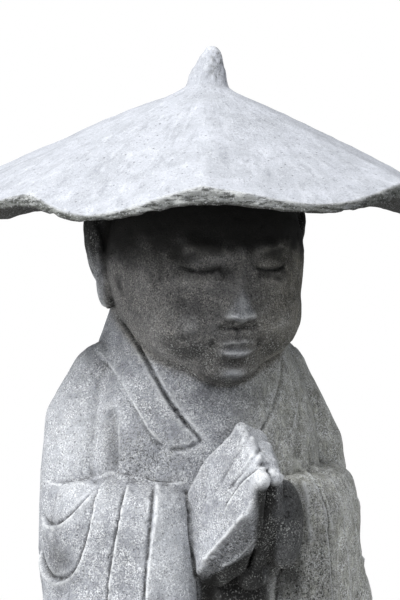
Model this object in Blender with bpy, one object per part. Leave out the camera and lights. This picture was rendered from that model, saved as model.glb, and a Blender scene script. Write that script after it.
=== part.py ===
"""A stone jizo: a small monk with joined hands, standing on a low base, under a lotus-leaf hat.

Metres, +Z up. The figure faces -Y and its right side is at -X. The origin is on the underside,
below the stem of the hat. Two stones: the figure with its base, and the hat that rests on the crown.
"""

import math

import bmesh
import bpy
import numpy as np
from mathutils import Euler, Matrix, Vector
from mathutils.bvhtree import BVHTree

# Driving dimensions
BASE_HEIGHT = 0.055
BASE_HALF = (0.172, 0.152)
CROWN = 0.888
SEAT_GAP = 0.0003
HEAD_MIDDLE = Vector((0.0, 0.002, 0.786))
HEAD_NOD = math.radians(7)
LEAF_TOP = 0.9665
LEAF_MEAN_RIM = 0.850
LEAF_DOME = 0.004
STEM_RADIUS = 0.0192
STEM_TOP = 1.0
STEM_LEAN = 0.0050
SEAT_REACH = 0.36

# The face, by the usual rule of thirds and fifths: metres from the head's middle
FACE_WIDE = 0.190
CHIN = -0.113
EYE_LINE = -0.002
EYE_WIDE = FACE_WIDE / 5
BROW_LINE = 0.026
NOSE_BASE = (BROW_LINE + CHIN) / 2
MOUTH_LINE = NOSE_BASE + (CHIN - NOSE_BASE) / 3
NOSE_OUT = 0.0135

# Mesh sizes
VOXEL = 0.003
FIGURE_TRIANGLES = 7300
LEAF_SIDES = 64

# Folds are drawn on the stone as a carver sees them: millimetres to the right of the stem's
# line and above the ground, by the turn round the figure from its front
EYE_HEIGHT = 0.86
EYE_DISTANCE = 1.8
FROM_RIGHT = -20
FROM_FRONT = 0
FROM_BACK = 180

# The leaf's rim, rib by lobe: turn from the front towards the figure's right in degrees,
# reach from the stem, height of the top edge and thickness in millimetres
LEAF_EDGE = [
    (20, 250, 859, 14), (44, 262, 837, 7), (60, 254, 852, 10), (86, 278, 835, 12),
    (110, 264, 852, 12), (138, 262, 833, 9), (164, 250, 852, 13), (182, 258, 838, 9),
    (200, 244, 856, 13), (223, 250, 840, 10), (245, 236, 852, 12), (268, 244, 837, 10),
    (290, 236, 850, 13), (311, 246, 841, 10), (331, 242, 862, 13), (357, 256, 847, 10),
]


def clear_scene():
    for thing in list(bpy.data.objects):
        bpy.data.objects.remove(thing)


def stone(name, colour, roughness):
    material = bpy.data.materials.new(name)
    material.use_nodes = True
    shader = material.node_tree.nodes["Principled BSDF"]
    shader.inputs["Base Color"].default_value = (*colour, 1.0)
    shader.inputs["Roughness"].default_value = roughness
    shader.inputs["Metallic"].default_value = 0.0
    return material


# Rough forms, which are later joined into one stone

def ellipsoid(bm, centre, half, turn=(0, 0, 0)):
    tilt = Euler([math.radians(angle) for angle in turn])
    place = Matrix.LocRotScale(Vector(centre), tilt, Vector(half))
    bmesh.ops.create_icosphere(bm, subdivisions=4, radius=1.0, matrix=place)


def limb(bm, points, radii):
    """A tapering limb with round joints at these points."""
    for point, radius in zip(points, radii):
        ellipsoid(bm, point, (radius, radius, radius))
    for start, end, low, high in zip(points, points[1:], radii, radii[1:]):
        run = Vector(end) - Vector(start)
        turn = run.to_track_quat("Z", "Y").to_matrix().to_4x4()
        place = Matrix.Translation((Vector(start) + Vector(end)) / 2) @ turn
        bmesh.ops.create_cone(
            bm, cap_ends=True, segments=24, radius1=low, radius2=high, depth=run.length, matrix=place
        )


def hulled(whole, points, radius):
    """A form with flat sides and rounded corners, drawn tight round balls at these points."""
    bm = bmesh.new()
    for point in points:
        bmesh.ops.create_icosphere(bm, subdivisions=2, radius=radius, matrix=Matrix.Translation(point))
    spots = [vert.co.copy() for vert in bm.verts]
    bm.clear()
    hull = bmesh.ops.convex_hull(bm, input=[bm.verts.new(spot) for spot in spots])
    spare = set(hull["geom_interior"] + hull["geom_unused"])
    spare = [item for item in spare if isinstance(item, bmesh.types.BMVert)]
    bmesh.ops.delete(bm, geom=spare, context="VERTS")
    form = bpy.data.meshes.new("hulled")
    bm.to_mesh(form)
    bm.free()
    whole.from_mesh(form)


def through(rows, steps):
    """Rows of numbers on a smooth curve through the given rows."""
    rows = np.array(rows, float)
    ends = np.vstack([2 * rows[0] - rows[1], rows, 2 * rows[-1] - rows[-2]])
    found = []
    for a, b, c, d in zip(ends, ends[1:], ends[2:], ends[3:]):
        for t in np.arange(steps) / steps:
            bend = (2 * a - 5 * b + 4 * c - d) * t * t + (3 * b - a - 3 * c + d) * t**3
            found.append(b + 0.5 * ((c - a) * t + bend))
    found.append(rows[-1])
    return np.array(found)


def loft(bm, sections, square=2.0, turn=0.0, sides=64):
    """A closed form through level sections: height, middle x and y, half width, half depth."""
    before = None
    for height, x, y, width, depth in through(sections, 4):
        ring = bmesh.ops.create_circle(bm, segments=sides, radius=1.0)["verts"]
        edges = list({edge for vert in ring for edge in vert.link_edges})
        for vert in ring:
            across, along = vert.co.x, vert.co.y
            reach = (abs(across) ** square + abs(along) ** square) ** (-1 / square)
            vert.co = (width * reach * across, depth * reach * along, 0.0)
        place = Matrix.Translation((x, y, height)) @ Matrix.Rotation(turn, 4, "Z")
        bmesh.ops.transform(bm, matrix=place, verts=ring)
        if before:
            bmesh.ops.bridge_loops(bm, edges=before + edges)
        else:
            bmesh.ops.contextual_create(bm, geom=edges)
        before = edges
    bmesh.ops.contextual_create(bm, geom=before)


def mirrored(point):
    return (-point[0], point[1], point[2])


def robe_forms(bm):
    """The robe from its hem to the neck."""
    loft(bm, [
        (0.030, 0, 0.012, 0.130, 0.106), (0.078, 0, 0.012, 0.149, 0.120),
        (0.130, 0, 0.012, 0.143, 0.113), (0.260, 0, 0.012, 0.135, 0.103),
        (0.380, 0, 0.012, 0.136, 0.102), (0.480, 0, 0.014, 0.138, 0.102),
        (0.560, 0, 0.028, 0.128, 0.102), (0.620, 0, 0.038, 0.124, 0.104),
        (0.665, 0, 0.044, 0.113, 0.100), (0.700, 0, 0.044, 0.096, 0.092),
        (0.735, 0, 0.034, 0.087, 0.084), (0.775, 0, 0.018, 0.080, 0.076),
    ], square=2.2)


def arm_forms(bm):
    """Upper arms, forearms and the hanging sleeves: alike, but the left arm is fullest lower down."""
    for side, out, up, full, high in ((-1, 0.108, 0.622, 0.046, 0.0), (1, 0.117, 0.587, 0.0485, 0.006)):
        limb(
            bm,
            [(side * 0.0875, 0.050, 0.664), (side * out, 0.046, up),
             (side * 0.116, 0.040, 0.565), (side * 0.120, 0.028, 0.505)],
            [0.0405, full, 0.045, 0.046],
        )
        limb(
            bm,
            [(side * 0.119, 0.020, 0.524), (side * 0.098, -0.034, 0.537),
             (side * 0.080, -0.058, 0.538)],
            [0.046, 0.043, 0.038],
        )
        limb(
            bm,
            [(side * 0.119, 0.020, 0.500), (side * 0.121, -0.012, 0.430), (side * 0.117, -0.016, 0.372)],
            [0.047, full + 0.004, 0.040],
        )
        loft(bm, [
            (0.330, side * 0.097, -0.037, 0.054, 0.028), (0.345, side * 0.098, -0.038, 0.067, 0.036),
            (0.420, side * 0.0995, -0.039, 0.077, 0.042), (0.490, side * 0.0995, -0.036, 0.076, 0.041),
            (0.535, side * 0.098, -0.033, 0.073, 0.041), (0.562 + high, side * 0.097, -0.031, 0.066, 0.036),
            (0.573 + high, side * 0.096, -0.029, 0.052, 0.024),
        ], square=2.6, turn=side * math.radians(45), sides=48)


def hand_forms(bm):
    """Joined hands, flat-backed, closing to the finger tips and slanting to the front."""
    palm = [(-0.0095, -0.121, 0.632), (-0.034, -0.095, 0.598), (-0.043, -0.075, 0.565),
            (-0.041, -0.080, 0.530), (-0.041, -0.094, 0.497), (-0.0186, -0.159, 0.560),
            (-0.0085, -0.171, 0.590), (-0.0045, -0.147, 0.543), (-0.0071, -0.117, 0.503),
            (-0.0286, -0.086, 0.482), (-0.0070, -0.110, 0.620), (-0.0070, -0.156, 0.574)]
    roots = [(-0.0190, -0.108, 0.604), (-0.0200, -0.122, 0.590), (-0.0190, -0.137, 0.577),
             (-0.0175, -0.151, 0.567)]
    tips = [(-0.0088, -0.121, 0.633), (-0.0088, -0.138, 0.623), (-0.0086, -0.155, 0.609),
            (-0.0086, -0.171, 0.592)]
    ellipsoid(bm, (0, -0.120, 0.592), (0.020, 0.034, 0.032))
    ellipsoid(bm, (0, -0.082, 0.560), (0.040, 0.034, 0.046))
    hulled(bm, tips[:3] + [mirrored(tip) for tip in tips[:3]], 0.0042)
    for place in (tuple, mirrored):
        hulled(bm, [place(point) for point in palm + tips], 0.0048)
        for root, tip in zip(roots, tips):
            limb(bm, [place(root), place(tip)], [0.0076, 0.0076])
    ellipsoid(bm, (0.035, -0.116, 0.540), (0.0195, 0.032, 0.043), (0, 0, FROM_RIGHT))
    ellipsoid(bm, (0.0075, -0.104, 0.494), (0.014, 0.014, 0.015))


# The head's parts: middle and half sizes, as metres from the head's middle
HEAD_PARTS = [
    ((0, 0.007, 0.006), (0.0995, 0.1010, 0.1060)),
    ((0, -0.018, -0.036), (0.0840, 0.0780, 0.0780)),
    ((0.040, -0.050, -0.044), (0.0400, 0.0380, 0.0420)),
    ((-0.040, -0.050, -0.044), (0.0400, 0.0380, 0.0420)),
    ((0, -0.062, -0.086), (0.0340, 0.0300, 0.0250)),
]
HEAD_BLEND = 14


def head_reach(points):
    """One on the skin of the head, less inside it: the head's parts, run softly into each other."""
    total = np.zeros(len(points))
    for middle, half in HEAD_PARTS:
        total += np.exp(-HEAD_BLEND * np.linalg.norm((points - middle) / half, axis=1))
    return -np.log(total) / HEAD_BLEND


def head_forms(whole):
    """A round shaved head with long ears. The face is modelled on it later."""
    bm = bmesh.new()
    ball = bmesh.ops.create_icosphere(bm, subdivisions=5, radius=1.0)["verts"]
    out = np.array([vert.co for vert in ball])
    low, high = np.full(len(out), 0.02), np.full(len(out), 0.2)
    for _ in range(30):
        middle = (low + high) / 2
        inside = head_reach(out * middle[:, None]) < 1
        low, high = np.where(inside, middle, low), np.where(inside, high, middle)
    for vert, reach in zip(ball, low):
        vert.co *= float(reach)
    for side in (-1, 1):
        ellipsoid(bm, (side * 0.105, 0.038, 0.010), (0.0090, 0.020, 0.040), (10, side * 14, 0))
        ellipsoid(bm, (side * 0.0950, 0.030, -0.028), (0.0085, 0.014, 0.024), (6, side * 8, 0))
        ellipsoid(bm, (side * 0.097, 0.036, 0.020), (0.012, 0.014, 0.040), (10, side * 10, 0))
    nod = Matrix.Translation(HEAD_MIDDLE) @ Matrix.Rotation(HEAD_NOD, 4, "X")
    bmesh.ops.transform(bm, matrix=nod, verts=bm.verts)
    head = bpy.data.meshes.new("head")
    bm.to_mesh(head)
    bm.free()
    whole.from_mesh(head)


def base_forms(bm):
    """A low rounded base, with the toes showing under the hem."""
    wide, deep = BASE_HALF
    loft(bm, [
        (-0.010, 0, 0.0, wide, deep), (0.030, 0, 0.0, wide, deep),
        (BASE_HEIGHT - 0.008, 0, 0.0, wide - 0.002, deep - 0.002),
        (BASE_HEIGHT, 0, 0.0, wide - 0.010, deep - 0.010),
    ], square=3.2)
    for side in (-1, 1):
        ellipsoid(bm, (side * 0.050, -0.098, 0.062), (0.036, 0.040, 0.020), (0, 0, side * 6))


def one_stone(bm, name, voxel, smoothing):
    """Joins the rough forms into one skin and softens where they meet."""
    rough = bpy.data.objects.new(name, bpy.data.meshes.new(name))
    bm.to_mesh(rough.data)
    bm.free()
    bpy.context.scene.collection.objects.link(rough)
    joined = rough.modifiers.new("joined", "REMESH")
    joined.mode = "VOXEL"
    joined.voxel_size = voxel
    soft = rough.modifiers.new("soft", "SMOOTH")
    soft.factor = 0.5
    soft.iterations = smoothing
    mesh = settled(rough)
    bm = bmesh.new()
    bm.from_mesh(mesh)
    bmesh.ops.delete(bm, geom=shut_in_faces(bm), context="FACES")
    bm.to_mesh(mesh)
    bm.free()
    return mesh


def shut_in_faces(bm):
    """The faces of every skin but the largest: small hollows shut inside the stone."""
    left = set(bm.faces)
    skins = []
    while left:
        skin = {left.pop()}
        edge_of = set(skin)
        while edge_of:
            edge_of = {near for face in edge_of for edge in face.edges for near in edge.link_faces} - skin
            skin |= edge_of
        left -= skin
        skins.append(skin)
    skins.remove(max(skins, key=len))
    return [face for skin in skins for face in skin]


def settled(thing):
    """The mesh that an object's modifiers give, once the object is gone."""
    graph = bpy.context.evaluated_depsgraph_get()
    mesh = bpy.data.meshes.new_from_object(thing.evaluated_get(graph))
    bpy.data.objects.remove(thing)
    return mesh


# Working on a mesh's points

def points_of(mesh):
    found = np.empty(len(mesh.vertices) * 3, np.float32)
    mesh.vertices.foreach_get("co", found)
    return found.reshape(-1, 3).astype(float)


def normals_of(mesh):
    found = np.empty(len(mesh.vertices) * 3, np.float32)
    mesh.vertex_normals.foreach_get("vector", found)
    return found.reshape(-1, 3).astype(float)


def place_points(mesh, points):
    mesh.vertices.foreach_set("co", points.astype(np.float32).ravel())
    mesh.update()


def rise(values, low, high):
    """Nought below low, one above high, and a soft rise between."""
    share = np.clip((values - low) / (high - low), 0, 1)
    return share * share * (3 - 2 * share)


# Carving

def eye(turn):
    angle = math.radians(turn)
    back = Vector((math.sin(angle), -math.cos(angle), 0))
    return back * EYE_DISTANCE + Vector((0, 0, EYE_HEIGHT)), Vector((math.cos(angle), math.sin(angle), 0))


def drawn(tree, turn, marks):
    """A smooth line through these marks, laid on the stone: its points and the stone's normals."""
    viewpoint, right = eye(turn)
    points, normals = [], []
    for across, up in through(marks, 36):
        target = right * across / 1000 + Vector((0, 0, up / 1000))
        point, normal, _, _ = tree.ray_cast(viewpoint, (target - viewpoint).normalized())
        if point:
            points.append(point)
            normals.append(normal)
    return evened(points, 8), evened(normals, 40)


def evened(rows, times):
    """Takes small jumps out of a row of points or directions, its ends held."""
    rows = np.array(rows)
    for _ in range(times):
        rows[1:-1] = (rows[:-2] + 2 * rows[1:-1] + rows[2:]) / 4
    return rows


def bell(s):
    return np.exp(-s * s)


def groove(s):
    return -bell(s)


def ridge(s):
    return bell(s)


def pleat(s):
    """A crest along the right of the line that dies away slowly, with a sharp nick on its left."""
    crest = 0.5 * (1 + np.tanh(2.2 * s)) * bell(np.maximum(s - 0.5, 0) / 7)
    return crest + 0.4 * bell((s - 0.3) / 0.8) - 0.75 * bell((s + 1.3) / 1.1)


def step(s):
    """An edge that stands up on the left of the line and dies away."""
    return 0.5 * (1 + np.tanh(2.5 * s)) * bell(np.maximum(s - 1, 0) / 7)


def cut(points, normals, line, profile, width, depth):
    """How far each point moves along its normal for one carved line."""
    path, out = line
    out = out / np.linalg.norm(out, axis=1, keepdims=True)
    moved = np.zeros(len(points))
    reach = width * (14 if profile in (step, pleat) else 4)
    near = np.all((points > path.min(0) - reach) & (points < path.max(0) + reach), axis=1)
    near = np.flatnonzero(near)
    along = evened(np.gradient(path, axis=0), 20)
    along /= np.linalg.norm(along, axis=1, keepdims=True) + 1e-12
    left = np.cross(out, along)
    left /= np.linalg.norm(left, axis=1, keepdims=True)
    count = len(path)
    for part in np.array_split(near, max(1, len(near) // 4000)):
        offset = points[part, None, :] - path[None, :, :]
        closest = np.argmin((offset**2).sum(2), axis=1)
        rows = np.arange(len(part))
        away = offset[rows, closest]
        side = (away * left[closest]).sum(1)
        run = (away * along[closest]).sum(1)
        spread = np.sqrt(np.maximum((away**2).sum(1) - side**2, 0))
        ends = np.minimum(closest, count - 1 - closest) / (0.10 * count)
        fade = np.clip(ends, 0, 1) ** 0.7 * bell(run / width) * bell(spread / (3 * width))
        facing = np.clip((normals[part] * out[closest]).sum(1) * 2, 0, 1)
        moved[part] = depth * profile(side / width) * fade * facing
    return moved


# Each line: viewpoint, marks, profile, width and depth in millimetres, and how deep the figure's
# other side has it
LINES = [
    (FROM_RIGHT, [(-90, 732), (-71, 704), (-57, 680), (-40, 650), (-23, 627), (-1, 602)],
     groove, 3.6, 6.0, 0.5),
    (FROM_RIGHT, [(-38, 598), (-55, 612), (-69, 634), (-79, 652), (-95, 679), (-110, 699), (-111, 712)],
     step, 3.0, -4.5, 0.5),
    (FROM_RIGHT, [(-4, 606), (-20, 599), (-38, 597)], groove, 3.0, 3.0, 0),
    (FROM_RIGHT, [(-97, 640), (-95, 620), (-94, 598), (-93, 576)], groove, 6.5, 5.0, 0.6),
    (FROM_RIGHT, [(-18, 566), (-33, 564), (-51, 564), (-69, 570), (-84, 571), (-97, 575), (-110, 569),
                  (-125, 563), (-142, 561), (-163, 566)], step, 3.0, 3.6, 0.4),
    (FROM_RIGHT, [(-110, 553), (-122, 515), (-133, 492), (-148, 484), (-160, 492)], groove, 10.0, 3.0, 0.5),
    (FROM_RIGHT, [(-104, 562), (-121, 546), (-132, 534), (-142, 525), (-152, 519), (-161, 522),
                  (-166, 532)], pleat, 2.8, 3.4, 0.5),
    (FROM_RIGHT, [(-102, 566), (-112, 542), (-117, 520), (-125, 492), (-131, 476), (-140, 466),
                  (-152, 463), (-161, 471), (-165, 482), (-167, 496)], pleat, 3.0, 4.4, 0.5),
    (FROM_RIGHT, [(-80, 562), (-85, 536), (-90, 510), (-95, 480), (-99, 448), (-102, 366)],
     pleat, 3.0, 4.4, 0.5),
    (FROM_RIGHT, [(-51, 563), (-53, 536), (-56, 506), (-59, 476), (-61, 446), (-63, 356)],
     pleat, 3.0, 4.8, 0.5),
    (FROM_RIGHT, [(-21, 560), (-19, 532), (-17, 503), (-13, 480), (-9, 450), (-6, 400), (-4, 350)],
     groove, 3.0, 3.4, 1),
    (FROM_RIGHT, [(-150, 446), (-143, 410), (-140, 366)], pleat, 3.6, 4.0, 0.6),
    (FROM_RIGHT, [(38, 533), (24, 516), (10, 500), (-6, 482)], ridge, 3.0, 2.2, 0),
    (FROM_RIGHT, [(45, 614), (30, 592), (6, 552)], groove, 2.8, 2.0, 0.8),
    (FROM_RIGHT, [(56, 600), (42, 583), (20, 556)], groove, 2.8, 2.6, 0.8),
    (FROM_RIGHT, [(60, 582), (50, 575), (35, 562), (17, 535)], pleat, 2.8, 3.0, 0.8),
    (FROM_RIGHT, [(89, 582), (99, 574), (107, 566), (118, 547), (124, 528), (127, 503)], ridge, 3.4, 2.2, 0),
    (FROM_RIGHT, [(95, 566), (99, 548), (101, 523), (103, 498)], pleat, 3.2, 2.2, 0),
    (FROM_RIGHT, [(97, 640), (94, 612), (92, 586)], groove, 6.0, 3.0, 0),
    (FROM_FRONT, [(-26, 480), (-22, 380), (-20, 250), (-22, 90)], pleat, 8.0, 5.0, 1),
    (FROM_FRONT, [(-66, 325), (-62, 220), (-68, 90)], pleat, 8.0, 5.0, 1),
    (FROM_FRONT, [(-108, 335), (-104, 220), (-108, 90)], pleat, 8.0, 5.0, 1),
    (FROM_BACK, [(-30, 640), (-24, 500), (-22, 300), (-26, 90)], pleat, 8.0, 4.5, 1),
    (FROM_BACK, [(-76, 560), (-70, 420), (-72, 260), (-80, 90)], pleat, 8.0, 4.5, 1),
    (FROM_BACK, [(-118, 470), (-114, 330), (-118, 100)], pleat, 8.0, 4.5, 1),
    (FROM_BACK, [(108, 698), (56, 682), (0, 676), (-56, 682), (-108, 698)], step, 3.0, 4.0, 0),
]


def face_marks(marks):
    """Millimetres from the head's middle, as marks seen from the front."""
    return [(across, 1000 * HEAD_MIDDLE.z + up) for across, up in marks]


MM = 1000
EYE_IN = -EYE_WIDE / 2 * MM
EYE_MID = -EYE_WIDE * MM
EYE_OUT = -EYE_WIDE * 1.5 * MM
FACE_LINES = [
    (FROM_FRONT, face_marks([
        (EYE_OUT, EYE_LINE * MM - 1.5), (EYE_OUT * 0.85, EYE_LINE * MM - 5), (EYE_MID, EYE_LINE * MM - 7),
        (EYE_IN * 1.35, EYE_LINE * MM - 5.5), (EYE_IN * 0.95, EYE_LINE * MM - 3.5),
    ]), groove, 2.2, 2.6, 1),
    (FROM_FRONT, face_marks([
        (-23, MOUTH_LINE * MM + 1.8), (-14, MOUTH_LINE * MM - 0.2), (-6, MOUTH_LINE * MM),
        (0, MOUTH_LINE * MM - 1.2), (6, MOUTH_LINE * MM), (14, MOUTH_LINE * MM - 0.2),
        (23, MOUTH_LINE * MM + 1.8),
    ]), groove, 2.2, 2.8, 0),
]


def swelling(x, z, at, half, height):
    return height * bell((x - at[0]) / half[0]) * bell((z - at[1]) / half[1])


def face_relief(x, z):
    """How far the face stands out from the plain head: brow, closed eyes, nose, lips and chin."""
    x = np.abs(x)
    down = np.clip((BROW_LINE - z) / (BROW_LINE - NOSE_BASE - 0.008), 0, 1)
    bridge = bell(x / (0.0095 + 0.0040 * down)) * (0.16 + 0.84 * down**1.6)
    tip = rise(z, NOSE_BASE - 0.004, NOSE_BASE + 0.009) * rise(-z, -BROW_LINE - 0.018, -BROW_LINE)
    nose = NOSE_OUT * bridge * tip
    wings = swelling(x, z, (0.0140, NOSE_BASE + 0.0070), (0.0062, 0.0064), 0.0058)
    socket = swelling(x, z, (0.034, EYE_LINE + 0.004), (0.026, 0.018), -0.0056)
    lid = swelling(x, z, (EYE_WIDE, EYE_LINE - 0.0005), (0.0200, 0.0100), 0.0072)
    brow_rise = BROW_LINE + 0.004 - 0.007 * ((x - 0.036) / 0.028) ** 2
    brow = 0.0026 * bell((z - brow_rise) / 0.0068) * rise(x, 0.0, 0.018) * rise(-x, -0.070, -0.048)
    muzzle = swelling(x, z, (0, MOUTH_LINE), (0.028, 0.019), 0.0044)
    bow = MOUTH_LINE + 0.0042 + 0.0012 * bell((x - 0.006) / 0.0038)
    upper_lip = 0.0036 * bell((z - bow) / 0.0038) * bell(x / 0.0165)
    lower_lip = 0.0046 * bell((z - MOUTH_LINE + 0.0060) / 0.0048) * bell(x / 0.0145)
    corner = swelling(x, z, (0.0225, MOUTH_LINE + 0.0010), (0.0042, 0.0042), -0.0030)
    furrow = swelling(x, z, (0, MOUTH_LINE - 0.0150), (0.0180, 0.0048), -0.0032)
    cheek = swelling(x, z, (0.046, NOSE_BASE + 0.002), (0.024, 0.022), 0.0042)
    chin = swelling(x, z, (0, CHIN + 0.017), (0.017, 0.011), 0.0044)
    upper = nose + wings + socket + lid + brow + cheek
    return upper + muzzle + upper_lip + lower_lip + corner + furrow + chin


def model_face(mesh):
    """Draws the face out of the front of the head, along the way that it looks."""
    points = points_of(mesh)
    tilt = Matrix.Rotation(HEAD_NOD, 3, "X")
    own = (points - np.array(HEAD_MIDDLE)) @ np.array(tilt)
    near = np.flatnonzero((own[:, 1] < -0.01) & (np.abs(own[:, 0]) < 0.1) & (np.abs(own[:, 2]) < 0.12))
    near = near[np.abs(head_reach(own[near]) - 1) < 0.09]
    own = own[near]
    forward = face_relief(own[:, 0], own[:, 2]) * rise(-own[:, 1], 0.015, 0.055)
    points[near] += forward[:, None] * np.array(tilt @ Vector((0, -1, 0)))
    place_points(mesh, points)


def carve(mesh, lines):
    tree = BVHTree.FromPolygons(
        [vert.co for vert in mesh.vertices], [face.vertices for face in mesh.polygons]
    )
    points, normals = points_of(mesh), normals_of(mesh)
    moved = np.zeros(len(points))
    turned = np.array([-1, 1, 1])
    for turn, marks, profile, width, depth, other_side in lines:
        path, out = drawn(tree, turn, marks)
        moved += cut(points, normals, (path, out), profile, width / 1000, depth / 1000)
        if other_side:
            other = (path[::-1] * turned, out[::-1] * turned)
            moved += cut(points, normals, other, profile, width / 1000, other_side * depth / 1000)
    place_points(mesh, points + normals * moved[:, None])


def figure():
    bm = bmesh.new()
    robe_forms(bm)
    arm_forms(bm)
    hand_forms(bm)
    head_forms(bm)
    base_forms(bm)
    mesh = one_stone(bm, "rough_figure", VOXEL, 3)
    model_face(mesh)
    carve(mesh, LINES + FACE_LINES)
    fine = bpy.data.objects.new("fine_figure", mesh)
    bpy.context.scene.collection.objects.link(fine)
    fewer = fine.modifiers.new("fewer", "DECIMATE")
    fewer.ratio = FIGURE_TRIANGLES / (2 * len(mesh.polygons))
    mesh = settled(fine)
    bm = bmesh.new()
    bm.from_mesh(mesh)
    for height, up in ((0.0, -1), (CROWN, 1)):
        cut_at = bmesh.ops.bisect_plane(
            bm, geom=list(bm.verts) + list(bm.edges) + list(bm.faces),
            plane_co=(0, 0, height), plane_no=(0, 0, up), clear_outer=True,
        )["geom_cut"]
        rim = [item for item in cut_at if isinstance(item, bmesh.types.BMEdge)]
        bmesh.ops.contextual_create(bm, geom=rim)
    bmesh.ops.triangulate(bm, faces=list(bm.faces))
    bmesh.ops.recalc_face_normals(bm, faces=list(bm.faces))
    bm.to_mesh(mesh)
    bm.free()
    return named("figure", mesh, stone("grey_stone", (0.20, 0.20, 0.195), 0.85))


# The hat

def rim_at(turn):
    """Reach, top height and thickness of the leaf's rim at this turn, in metres."""
    turns = np.array([row[0] for row in LEAF_EDGE], float)
    turn = (turn - turns[0]) % 360 + turns[0]
    index = np.searchsorted(turns, turn, side="right") - 1
    start, end = LEAF_EDGE[index], LEAF_EDGE[(index + 1) % len(LEAF_EDGE)]
    share = (turn - start[0]) / ((end[0] - start[0]) % 360)
    ease = 0.5 - 0.5 * math.cos(math.pi * share)
    return [(a + (b - a) * ease) / 1000 for a, b in zip(start[1:], end[1:])]


def rib(turn, radius):
    """The crest that runs out to each high point of the rim."""
    from_rib = min(abs((turn - row[0] + 180) % 360 - 180) for row in LEAF_EDGE[::2])
    return 0.0035 * math.exp(-radius * math.radians(from_rib) / 0.016) - 0.0012


def hat():
    """A lotus leaf turned face down: a flat disc is spun, then drawn to the leaf's height and rim."""
    shares = [0, 0.025, 0.050, 0.068, 0.085, 0.12, 0.20, 0.32, 0.48, 0.64, 0.80, 0.92, 0.985]
    below = [0.97, 0.82, 0.60, SEAT_REACH, 0.18, 0]
    bm = bmesh.new()
    top = [bm.verts.new((share, 0, 1)) for share in shares]
    rim = [bm.verts.new((1.0, 0, 0.55)), bm.verts.new((0.998, 0, -0.45))]
    under = [bm.verts.new((share, 0, -1)) for share in below]
    line = top + rim + under
    edges = [bm.edges.new(pair) for pair in zip(line, line[1:])]
    bmesh.ops.spin(
        bm, geom=line + edges, axis=(0, 0, 1), cent=(0, 0, 0), angle=math.tau, steps=LEAF_SIDES, use_merge=True
    )
    bmesh.ops.remove_doubles(bm, verts=list(bm.verts), dist=1e-5)
    for vert in bm.verts:
        vert.co = leaf_place(vert.co)
    bmesh.ops.triangulate(bm, faces=list(bm.faces))
    bmesh.ops.recalc_face_normals(bm, faces=list(bm.faces))
    mesh = bpy.data.meshes.new("hat")
    bm.to_mesh(mesh)
    bm.free()
    return named("hat", mesh, stone("pale_stone", (0.52, 0.53, 0.56), 0.85))


def leaf_place(spot):
    share = math.hypot(spot.x, spot.y)
    turn = math.degrees(math.atan2(-spot.x, -spot.y))
    reach, rim_top, rim_thick = rim_at(turn)
    cone = LEAF_TOP - (LEAF_TOP - LEAF_MEAN_RIM) * share + LEAF_DOME * math.sin(math.pi * share)
    top = cone + (rim_top - LEAF_MEAN_RIM) * share**3
    radius = share * reach
    top += rib(turn, radius) * rise(share, 0.10, 0.25)
    stem = STEM_TOP - (STEM_TOP - LEAF_TOP) * (radius / STEM_RADIUS) ** 1.8
    flare = 0.003 * math.exp(-max(radius - STEM_RADIUS, 0) / 0.006)
    top = max(top + flare, stem) if radius < STEM_RADIUS * 1.3 else top + flare
    seat = CROWN + SEAT_GAP
    slope = min(max((share - SEAT_REACH) / (1 - SEAT_REACH), 0), 1)
    under = seat + (rim_top - rim_thick - seat) * slope
    height = under + (top - under) * (spot.z + 1) / 2
    angle = math.atan2(spot.y, spot.x)
    lean = STEM_LEAN * rise(height, LEAF_TOP - 0.012, STEM_TOP)
    toward = math.radians(FROM_RIGHT)
    return Vector((
        radius * math.cos(angle) + lean * math.cos(toward),
        radius * math.sin(angle) + lean * math.sin(toward), height,
    ))


def named(name, mesh, material):
    mesh.materials.clear()
    mesh.materials.append(material)
    mesh.shade_smooth()
    mesh.set_sharp_from_angle(angle=math.radians(50))
    thing = bpy.data.objects.new(name, mesh)
    bpy.context.scene.collection.objects.link(thing)
    return thing


clear_scene()
figure()
hat()
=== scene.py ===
"""Dresses the stone jizo: the carved figure and its lotus-leaf hat in weathered granite.

Metres, +Z up. The figure faces -Y and its right side is at -X. Each stone keeps the form and place
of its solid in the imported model, with the carver's finer lines and the worn surface added.
"""

import math

import bmesh
import bpy
import numpy as np
from mathutils import Euler, Matrix, Vector
from mathutils.bvhtree import BVHTree


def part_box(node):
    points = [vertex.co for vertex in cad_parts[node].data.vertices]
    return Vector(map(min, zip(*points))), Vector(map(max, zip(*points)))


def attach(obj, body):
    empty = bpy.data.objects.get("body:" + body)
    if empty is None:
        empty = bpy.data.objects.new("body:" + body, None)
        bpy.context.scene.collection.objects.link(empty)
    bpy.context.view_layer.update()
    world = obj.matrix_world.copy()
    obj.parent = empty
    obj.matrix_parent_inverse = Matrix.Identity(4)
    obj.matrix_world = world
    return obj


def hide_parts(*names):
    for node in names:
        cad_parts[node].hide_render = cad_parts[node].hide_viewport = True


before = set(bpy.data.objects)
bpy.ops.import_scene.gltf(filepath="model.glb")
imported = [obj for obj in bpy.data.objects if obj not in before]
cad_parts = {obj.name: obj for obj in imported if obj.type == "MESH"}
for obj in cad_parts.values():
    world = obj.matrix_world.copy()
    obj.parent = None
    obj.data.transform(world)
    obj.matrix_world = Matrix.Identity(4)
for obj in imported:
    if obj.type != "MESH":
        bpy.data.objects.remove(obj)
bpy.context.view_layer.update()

# The figure
BASE_HEIGHT = 0.055
BASE_HALF = (0.172, 0.152)
CROWN = 0.888
HEAD_MIDDLE = Vector((0.0, 0.002, 0.786))
HEAD_NOD = math.radians(7)

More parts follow.
